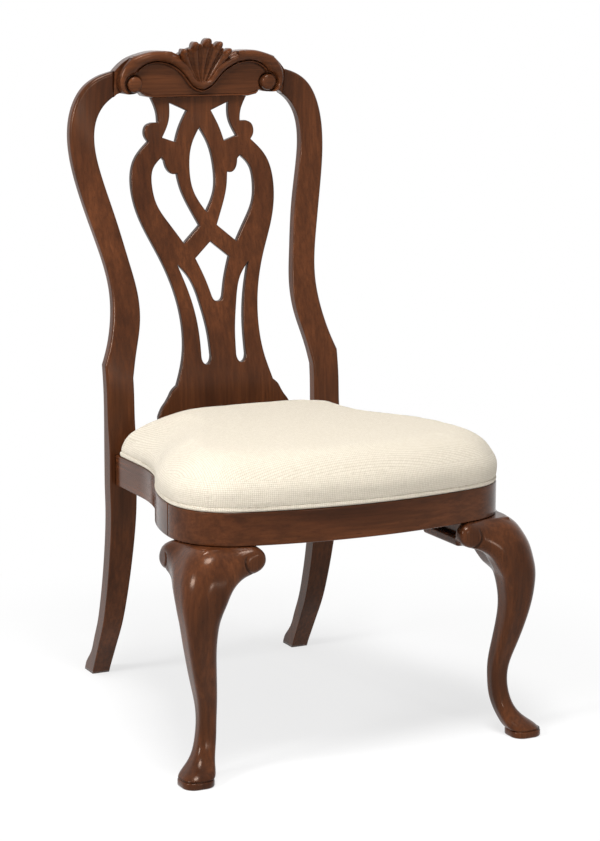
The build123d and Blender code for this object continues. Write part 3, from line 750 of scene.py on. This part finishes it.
side_scroll = smooth_run([
    (-263, 262), (-254, 274), (-239, 286), (-220, 296), (-204, 301.5), (-191, 303.5),
    (-181, 308.5), (-177, 319), (-181, 331), (-192, 342), (-204, knee_top),
], 70)
front_plane, side_plane, inner_face = corner_y - 40, corner_x + 42, 16
pad_reach, pad_width, pad_round = 52.8, 51, 19
bar_strips = ((166.5, 311.0, 15.5, 4.0), (180.0, 320.0, 29.0, 2.0))
bar_right, bar_ends = 262, np.array([-289.0, -184.0])
leg_voxel, leg_easing = 0.0015, 10
crescent_radius, crescent_width, crescent_sweep, crescent_depth = 17.5, 1.7, 62, 3.4


def eased(t):
    """A step from 0 to 1 with level ends: t*t*(3-2t)."""
    t = np.clip(t, 0, 1)
    return t * t * (3 - 2 * t)


def scroll_face(line, u, z, end, soft):
    """Set-back of a knee's face near its scroll: a quarter circle in from the outline."""
    return rolled(np.minimum(distance_to(line, u, z + 0 * u), np.abs(u - end)), soft)


def leg_grid():
    """L-shaped sections up the leg, right side: front arm, round corner, side arm, inside.

    Each arm runs from the corner to the scroll's outline at that height. Its face goes
    over from the knee's to the scroll's own plane, and is rounded off at the outline."""
    z = np.r_[np.linspace(12, 60, 26)[:-1], np.linspace(60, 240, 56)[:-1]]
    z = np.r_[z, np.linspace(240, knee_top, 90)]
    tables = (leg_reach, leg_widths, leg_rounds)
    reach, width, soft = (spline_through(leg_heights, v, z)[:, None] for v in tables)
    z, half = z[:, None], width / 2
    cx, cy = corner_x + reach / math.sqrt(2), corner_y - reach / math.sqrt(2)
    left, right, front, rear = cx - half, cx + half, cy - half, cy + half
    front_ear = np.interp(z, front_scroll[:, 1], front_scroll[:, 0])
    side_ear = np.interp(z, side_scroll[:, 1], side_scroll[:, 0])
    ear_x = np.where(z > block_foot, np.minimum(left, front_ear), left)
    ear_y = np.where(z > block_foot, np.maximum(rear, side_ear), rear)
    edge = np.interp(z, [235, 300], [1, 0]) * np.minimum(soft, 18)
    edge = edge + np.interp(z, [235, 300], [0, 10])
    corner = np.minimum(soft, half / 1.03)
    top_drop = rolled(knee_top - z, 13.0)
    fine = 1 - np.cos(np.linspace(0, math.pi / 2, 40))
    u = ear_x + (right - corner - ear_x) * fine
    over = eased((left + 20 - u) / 44) * eased((z - 255) / 40)
    front_y = front * (1 - over) + (front_plane + top_drop) * over
    front_y = front_y + scroll_face(front_scroll, u, z, ear_x, edge)
    turn = np.linspace(0, math.pi / 2, 11)[1:-1]
    arc_x = right - corner * (1 - np.sin(turn))
    arc_y = front + corner * (1 - np.cos(turn))
    v = (ear_y + (front + corner - ear_y) * fine)[:, ::-1]
    over = eased((v - cy - half + 20) / 44) * eased((z - 240) / 40)
    side_x = right * (1 - over) + (side_plane - top_drop) * over
    side_x = side_x - scroll_face(side_scroll, v, z, ear_y, edge)
    inner_x = np.maximum(corner_x + inner_face, left)
    inner_y = np.minimum(corner_y - inner_face, rear)
    turn = np.linspace(0, math.pi / 2, 9)
    low_x = left + corner * (1 - np.sin(turn))
    low_y = rear - corner * (1 - np.cos(turn))
    high_x = [inner_x + 3] + [inner_x] * 3 + [left] * 2 + [(left + ear_x) / 2, ear_x + 3, ear_x]
    high_y = [ear_y, ear_y - 3, (ear_y + rear) / 2] + [rear] * 2 + [inner_y] * 3 + [inner_y - 3]
    change = eased((z - 256) / 22)
    in_x = low_x * (1 - change) + np.hstack(high_x) * change
    in_y = low_y * (1 - change) + np.hstack(high_y) * change
    x, y = np.hstack([u, arc_x, side_x, in_x]), np.hstack([front_y, arc_y, v, in_y])
    return np.stack([x, y, z + 0 * x], -1)


def pad_grid():
    """The squared pad: a groove under the foot, then a disc with rounded edges."""
    z = np.array([0.0, 0.3, 1.0, 2.2, 6.0, 9.0, 10.2, 10.9, 11.0, 11.2, 12.6, 12.9])
    out = np.array([-3.4, -1.8, -0.7, 0.0, 0.0, 0.0, -0.6, -1.6, -2.2, -2.4, -2.4, -1.0])
    width = pad_width + 2 * out
    across, back = rounded_ring(width, width, np.repeat((pad_round + out)[:, None], 4, 1), 9)
    x = corner_x + pad_reach / math.sqrt(2) - width[:, None] / 2 + across
    y = corner_y - pad_reach / math.sqrt(2) - width[:, None] / 2 + back
    return np.stack([x, y, z[:, None] + x * 0], -1)


def bar_grid(left, low, tall, soft):
    """A rounded strip of the inner bar, level from front to back."""
    width, height = np.full(2, bar_right - left), np.full(2, tall)
    across, up = rounded_ring(width, height, np.full((2, 4), soft))
    return np.stack([left + across, bar_ends[:, None] + across * 0, low + up], -1)


def remeshed(rough, voxel, easing=0):
    """The mesh filled to one even skin of this pitch, and eased so many times."""
    holder = bpy.data.objects.new(rough.name, rough)
    scene.collection.objects.link(holder)
    skin = holder.modifiers.new("skin", "REMESH")
    skin.mode = "VOXEL"
    skin.voxel_size = voxel
    holder.modifiers.new("ease", "SMOOTH").iterations = easing
    graph = bpy.context.evaluated_depsgraph_get()
    mesh = bpy.data.meshes.new_from_object(holder.evaluated_get(graph))
    bpy.data.objects.remove(holder)
    return mesh


def crescent(points, along, axis, near, centre, middle):
    """Sinks a crescent round a scroll's centre: deepest in mid sweep, and narrow."""
    du, dz = points[:, along] - centre[0], points[:, 2] - centre[1]
    angle = (np.degrees(np.arctan2(dz, du)) - middle + 180) % 360 - 180
    span = np.sqrt(bow(angle / crescent_sweep))
    cut = ridge(np.hypot(du, dz) - crescent_radius, crescent_width) * span * near
    points[:, axis] -= np.sign(points[:, axis]) * cut * crescent_depth
    return cut


def carved_leg():
    """The leg's grid and its inner bar filled at a fine pitch, eased, and grooved."""
    grids = [leg_grid()] + [bar_grid(*strip) for strip in bar_strips]
    rough = new_mesh("leg_rough", *merged([(grid, tube_faces(grid)) for grid in grids]))
    fused = remeshed(rough, leg_voxel, leg_easing)
    points = mesh_points(fused) * 1000
    on_front, on_side = points[:, 1] < corner_y - 22, points[:, 0] > corner_x + 22
    cut = crescent(points, 0, 1, on_front, (183, 328), -25)
    cut = cut + crescent(points, 1, 0, on_side, (-194, 322), 205)
    pad = pad_grid()
    whole = merged([(points, mesh_faces(fused)), (pad, tube_faces(pad))])
    # The crescents' depth is reused as painted shade in them; the pad gets none.
    return *whole, np.r_[cut, pad[..., 0].ravel() * 0]


leg_points, leg_faces, leg_shade = carved_leg()
for side, points in both_sides(leg_points):
    leg = new_piece(f"{side}_leg", points, upright_wood, leg_faces, leg_shade * 0.8)
    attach(leg, "root")
    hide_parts(f"{side}_front_leg", f"{side}_front_knee_block", f"{side}_side_knee_block")


# Hidden frame parts: glued corner blocks and the board, bare wood, with zinc plated bolts.
# They keep the solids' shapes, since they are plain sawn pieces.
def bare_wood(name, pale, dark, turn):
    """Unfinished wood: pale ground with brown growth lines along the turned Z."""
    streak = tuple(0.6 * c for c in dark[:3]) + (1,)
    material, _, shader, _ = grained(name, turn, dark, pale, streak)
    feed(shader, {"Roughness": 0.7})
    return material


block_wood = bare_wood("block_wood", (0.52, 0.36, 0.20, 1), (0.38, 0.24, 0.12, 1), turn_back)
board_wood = bare_wood("board_wood", (0.46, 0.32, 0.18, 1), (0.34, 0.22, 0.12, 1), turn_across)
zinc, zinc_tree, zinc_shader = new_material("zinc")
zinc_mottle = added(zinc_tree, "TexNoise", {"Scale": 300}).outputs["Fac"]
feed(zinc_shader, {"Metallic": 1.0, "Base Color": (0.55, 0.56, 0.58, 1)})
feed(zinc_shader, {"Roughness": ranged(zinc_tree, zinc_mottle, 0, 1, 0.3, 0.5)})
for side in ("left", "right"):
    for end in ("front", "rear"):
        nodes[f"{side}_{end}_corner_block"].material_slots[0].material = block_wood
nodes["seat_board"].material_slots[0].material = board_wood
nodes["leg_bolts"].material_slots[0].material = zinc


# Seat cushion: foam under a cream basket-weave cloth, pulled down to the rails.
# It is full and upright at the front, and falls away in a long slope to the back posts.
# The darker cloth colour is painted shade between the yarns and in the darker slubs; the paler one
# is the yarn's own cream.
yarn_pitch, cloth_shade_and_slub, cloth_pale = 0.0058, (0.40, 0.325, 0.215, 1), (0.885, 0.825, 0.715, 1)
seat_middle, cushion_front, cushion_deep, rim_points = np.array([0.0, -65.0]), -319, 505, 360
cloth_foot, cloth_lap, front_upright, upright_fall = 404.0, 5.0, 37.7, 27.9
front_bulge, bulge_loss, crown_half = 9.0, 0.75, (262, 255)
front_shoulder, shoulder_gain, dome_rise, dome_power, crown_rise = 31.8, 49.0, 72.4, 1.45, 4.6
cushion_voxel, cloth_draw, cloth_limit, pinned_below = 0.005, 3.0, 0.0035, 0.411


def worked_out(tree, kind, *values):
    """One arithmetic step on numbers or outputs."""
    step = tree.nodes.new("ShaderNodeMath")
    step.operation = kind
    feed(step, dict(enumerate(values)))
    return step.outputs[0]


def weave_cloth(name, pitch):
    """Cream cloth: pairs of yarns that pass over and under, laid on three planes."""
    material, tree, shader = new_material(name)
    feed(shader, {"Roughness": 0.9, "Sheen Weight": 0.15, "Sheen Roughness": 0.5})
    feed(shader, {"Specular IOR Level": 0.15})
    place = tree.nodes.new("ShaderNodeTexCoord").outputs
    parts = added(tree, "SeparateXYZ", {0: place["Object"]}).outputs
    facing = added(tree, "SeparateXYZ", {0: place["Normal"]}).outputs

    def calc(kind, *values):
        """One arithmetic step in this material."""
        return worked_out(tree, kind, *values)

    def chosen(switch, on, off):
        """One of two values, by a switch."""
        kept = calc("MULTIPLY", calc("SUBTRACT", 1, switch), off)
        return calc("ADD", calc("MULTIPLY", switch, on), kept)

    up = calc("GREATER_THAN", calc("ABSOLUTE", facing["Z"]), 0.55)
    sideways = calc("GREATER_THAN", calc("ABSOLUTE", facing["X"]), 0.7)
    flank = calc("MULTIPLY", sideways, calc("SUBTRACT", 1, up))
    turn_u = calc("MULTIPLY", chosen(flank, parts["Y"], parts["X"]), 2 * math.pi / pitch)
    turn_v = calc("MULTIPLY", chosen(up, parts["Y"], parts["Z"]), 2 * math.pi / pitch)
    checks = calc("MULTIPLY", calc("SINE", turn_u), calc("SINE", turn_v))
    warp = calc("ABSOLUTE", calc("SINE", calc("MULTIPLY", turn_u, 2)))
    weft = calc("ABSOLUTE", calc("SINE", calc("MULTIPLY", turn_v, 2)))
    yarn = chosen(calc("GREATER_THAN", checks, 0), warp, weft)
    crown = calc("POWER", calc("ABSOLUTE", checks), 0.5)
    height = calc("ADD", calc("MULTIPLY", yarn, 0.45), crown)
    slub = added(tree, "TexNoise", {"Scale": 240, "Detail": 4, "Vector": place["Object"]})
    uneven = calc("MULTIPLY", slub.outputs["Fac"], 0.36)
    # Painted shade: the colour darkens where the weave lies low, plus uneven slubs in the yarn.
    yarn_shade_and_slub = calc("MINIMUM", calc("ADD", calc("MULTIPLY", height, 0.44), uneven), 1.0)
    bump = added(tree, "Bump", {"Strength": 0.6, "Distance": 0.0010, "Height": height})
    colour = mixed(tree, yarn_shade_and_slub, cloth_shade_and_slub, cloth_pale)
    feed(shader, {"Base Color": colour, "Normal": bump.outputs["Normal"]})
    return material


seat_cloth = weave_cloth("seat_cloth", yarn_pitch)


def cushion_rim(swell, corner=24.0):
    """The seat's edge with round rear corners, swollen out, and its outward normals."""
    half, way = plan_line(0, None, 5.0)
    rear_y, side_x = post_line - 1.0, half[-1, 0]
    keep = half[:, 1] < rear_y - corner
    turn = np.linspace(0, math.pi / 2, 8)
    arc_way = np.c_[np.cos(turn), np.sin(turn)]
    arc = np.array([side_x - corner, rear_y - corner]) + corner * arc_way
    across = np.linspace(side_x - corner, 0, 34)[1:]
    back = np.c_[across, across * 0 + rear_y]
    edge = closed_by_mirror(np.r_[half[keep], arc, back])
    out = closed_by_mirror(np.r_[way[keep], arc_way, back * 0 + (0, 1)])
    behind = edge[:, 1] > rear_y - 2
    return edge + out * np.where(behind, min(swell, 0.0), swell)[:, None], out


def evened(ring, count):
    """A closed line of points set at even steps of its length."""
    closed = np.r_[ring, ring[:1]]
    s = np.r_[0, np.cumsum(steps_of(closed))]
    return read_off(np.linspace(0, s[-1], count + 1)[:-1], s, closed)


def soft_gap(closed, flat):
    """Distance in from the edge, smooth in the middle of the seat.

    Away from the edge it is the root of 2 over the sum of step/d^3 along the edge."""
    d = np.linalg.norm(flat[:, None] - (closed[1:] + closed[:-1]) / 2, axis=2)
    smooth = np.sqrt(2 / (steps_of(closed) / np.maximum(d, 1.0) ** 3).sum(1))
    near = distance_to(closed, flat[:, 0], flat[:, 1])
    return near + (smooth - near) * eased((near - 8) / 16)


def cushion_grid(draw):
    """Flat underside, a bulging upright edge, and a dome by distance in from the edge.

    From front to back the upright part falls from 38 to 10 mm and the shoulder widens
    from 32 to 81 mm. The dome is 1-(1-d/L)^1.45, to the power 1/1.45, plus a low crown."""

    def backward(plan):
        """How far back: 0 at the front edge and 1 at the posts."""
        return np.clip((plan[:, 1] - cushion_front) / cushion_deep, 0, 1)

    both = evened(np.hstack(cushion_rim(0)), rim_points)
    edge, out = both[:, :2], both[:, 2:]
    edge = edge - out * draw
    back = backward(edge)
    upright, base = front_upright - upright_fall * back, cloth_foot + 0 * back
    rows = [np.c_[edge * 0.90 + 0.10 * seat_middle, base], np.c_[edge - out * 1.5, base]]
    for s in np.linspace(0.06, 1, 12):
        bulge = front_bulge * (1 - bulge_loss * back) * math.sin(math.pi * s * 0.9)
        rows.append(np.c_[edge + out * bulge[:, None], base + (upright + cloth_lap) * s])
    closed = np.r_[edge, edge[:1]]
    for share in np.r_[np.linspace(0.992, 0.9, 13), np.linspace(0.88, 0.04, 30)]:
        flat = seat_middle + (edge - seat_middle) * share
        back = backward(flat)
        shoulder = front_shoulder + shoulder_gain * back
        foot = front_upright - upright_fall * back
        e = 1 - np.clip(soft_gap(closed, flat) / shoulder, 0, 1)
        dome = (1 - e**dome_power) ** (1 / dome_power)
        crown = np.prod(bow((flat - seat_middle) / crown_half), 1)
        rise = (dome_rise - draw - foot) * dome + crown_rise * crown
        rows.append(np.c_[flat, cloth_foot + cloth_lap + foot + rise])
    return np.array(rows)


def blown_up(piece, start):
    """The piece's points after 20 frames as cloth under pressure, its lower edge pinned."""
    pinned = piece.vertex_groups.new(name="pinned")
    pinned.add(np.flatnonzero(start[:, 2] < pinned_below).tolist(), 1.0, "REPLACE")
    cloth = piece.modifiers.new("cloth", "CLOTH").settings
    cloth.use_pressure = True
    cloth.uniform_pressure_force = 4.0
    cloth.effector_weights.gravity = 0.0
    cloth.vertex_group_mass = "pinned"
    for frame_number in range(1, 21):
        scene.frame_set(frame_number)
    graph = bpy.context.evaluated_depsgraph_get()
    moved = mesh_points(piece.evaluated_get(graph).to_mesh())
    piece.evaluated_get(graph).to_mesh_clear()
    piece.modifiers.clear()
    piece.vertex_groups.clear()
    scene.frame_set(1)
    return moved


def cushion_mesh():
    """The padded cover: remeshed evenly, then blown up as cloth by a few millimetres."""
    grid = cushion_grid(cloth_draw)
    mesh = remeshed(new_mesh("cushion_rough", grid, tube_faces(grid)), cushion_voxel)
    piece = bpy.data.objects.new("cushion", mesh)
    scene.collection.objects.link(piece)
    start = mesh_points(mesh)
    shift = blown_up(piece, start) - start
    size = np.maximum(np.linalg.norm(shift, axis=1)[:, None], 1e-9)
    start = start + shift * np.minimum(1, cloth_limit / size)
    mesh.vertices.foreach_set("co", start.ravel())
    mesh.materials.append(seat_cloth)
    mesh.shade_smooth()
    return piece


cushion = cushion_mesh()
cushion.modifiers.new("smooth", "SMOOTH").iterations = 8
cushion.modifiers.new("subsurf", "SUBSURF").levels = 1
cushion.modifiers["subsurf"].render_levels = 1
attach(cushion, "root")
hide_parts("seat_cover", "seat_foam")


# Welt: a cord wrapped in the same cloth, laid along the top of the rails.
# It is stapled to the board's edge, and hides the raw edge of the cover.
welt_wide, welt_tall, welt_height = 3.9, 4.0, 405.0


def level_ring(inset, height, count):
    """Closed level line round the seat at one inset."""
    return np.insert(evened(cushion_rim(-inset)[0], count), 2, height, 1)


def cord_points(line, wide, tall, around=14):
    """An oval section carried round a closed level line."""
    ahead = unit(np.roll(line, -1, axis=0) - np.roll(line, 1, axis=0))
    side = np.c_[ahead[:, 1], -ahead[:, 0], ahead[:, 2] * 0]
    turn = np.linspace(0, 2 * math.pi, around, endpoint=False)
    out = np.cos(turn)[None, :, None] * wide * side[:, None]
    up = np.sin(turn)[None, :, None] * tall * np.array([0, 0, 1.0])
    grid = line[:, None] + out + up
    return np.r_[grid, grid[:1]]


welt_grid = cord_points(level_ring(welt_wide, welt_height, rim_points), welt_wide, welt_tall)
welt = new_piece("welt", welt_grid, seat_cloth, tube_faces(welt_grid, capped=False))
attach(welt, "root")
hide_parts("seat_welt")


# Dust cover: thin black cambric, stapled flat under the board inside the rails.
# It is pulled tight, so it hardly sags, and is drawn level.
cambric_inset, cambric_height, cambric_points = 23.5, 400.3, 160
cambric_tones = (0.012, 0.012, 0.012, 1), (0.05, 0.05, 0.05, 1)


def black_cambric():
    """Matt black cloth, mottled a little by a fine noise."""
    material, tree, shader = new_material("cambric")
    place = tree.nodes.new("ShaderNodeTexCoord").outputs["Object"]
    weave = added(tree, "TexNoise", {"Scale": 900, "Vector": place}).outputs["Fac"]
    feed(shader, {"Base Color": mixed(tree, weave, *cambric_tones), "Roughness": 0.9})
    return material


rim = level_ring(cambric_inset, cambric_height, cambric_points)
middle = np.append(seat_middle, cambric_height)
cambric_grid = middle + (rim - middle) * np.linspace(1, 0.04, 24)[:, None, None]
cambric_faces = tube_faces(cambric_grid)
del cambric_faces[-2]
dust = new_piece("dust_sheet", cambric_grid, black_cambric(), cambric_faces)
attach(dust, "root")
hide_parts("dust_cover")


# Studio: one broad pale floor, white all round, and three soft lamps. Away from the
# feet the floor fades to white, and near them it keeps the chair's shadow.
white, floor_reach, lamp_aim = (1, 1, 1, 1), 12, Vector((0, 0, 0.4))
floor_corners = [(-1, -1, 0), (1, -1, 0), (1, 1, 0), (-1, 1, 0)]
floor_mesh = bpy.data.meshes.new("floor")
floor_mesh.from_pydata((np.array(floor_corners) * floor_reach).tolist(), [], [(0, 1, 2, 3)])
floor = bpy.data.objects.new("floor", floor_mesh)
scene.collection.objects.link(floor)


def seen_switch(tree):
    """1 for camera, glossy and transmission rays, and 0 for the light on the object."""
    rays = tree.nodes.new("ShaderNodeLightPath").outputs
    both = worked_out(tree, "MAXIMUM", rays["Is Camera Ray"], rays["Is Glossy Ray"])
    return worked_out(tree, "MAXIMUM", both, rays["Is Transmission Ray"])


def seen_as(tree, switch, lit, seen, output):
    """Shows one shader where the switch is 1, and lights the object by the other."""
    blend = added(tree, "MixShader", {0: switch, 1: lit.outputs[0], 2: seen.outputs[0]})
    feed(tree.nodes[output], {"Surface": blend.outputs["Shader"]})


def floor_paint():
    """Pale matt paint, seen as plain white more and more with distance from the middle."""
    material, tree, shader = new_material("floor_paint")
    feed(shader, {"Base Color": (0.93, 0.93, 0.93, 1), "Roughness": 0.9, "Specular IOR Level": 0})
    distance = tree.nodes.new("ShaderNodeVectorMath")
    distance.operation = "LENGTH"
    feed(distance, {0: tree.nodes.new("ShaderNodeTexCoord").outputs["Object"]})
    fade = ranged(tree, distance.outputs["Value"], 0.35, 1.0, 0.70, 1.0)
    fade.node.interpolation_type = "SMOOTHSTEP"
    switch = worked_out(tree, "MULTIPLY", fade, seen_switch(tree))
    seen_as(tree, switch, shader, tree.nodes.new("ShaderNodeEmission"), "Material Output")
    return material


floor_mesh.materials.append(floor_paint())
world = bpy.data.worlds.new("studio")
world.use_nodes = True
world_tree = world.node_tree
room = world_tree.nodes["Background"]
feed(room, {"Color": white, "Strength": 0.27})
plain = added(world_tree, "Background", {"Color": white, "Strength": 1.0})
seen_as(world_tree, seen_switch(world_tree), room, plain, "World Output")
scene.world = world
for lamp_name, place, size, power in (
    ("left_softbox", (-2.85, -0.75, 1.95), (0.8, 0.9), 62),
    ("top_softbox", (-0.4, -0.9, 2.9), (0.9, 0.9), 70),
    ("front_softbox", (0.75, -3.4, 1.0), (0.25, 0.45), 12),
):
    lamp = bpy.data.lights.new(lamp_name, "AREA")
    lamp.shape = "RECTANGLE"
    lamp.size, lamp.size_y = size
    lamp.energy = power
    stand = bpy.data.objects.new(lamp_name, lamp)
    stand.location = place
    stand.rotation_euler = (lamp_aim - Vector(place)).to_track_quat("-Z", "Y").to_euler()
    scene.collection.objects.link(stand)
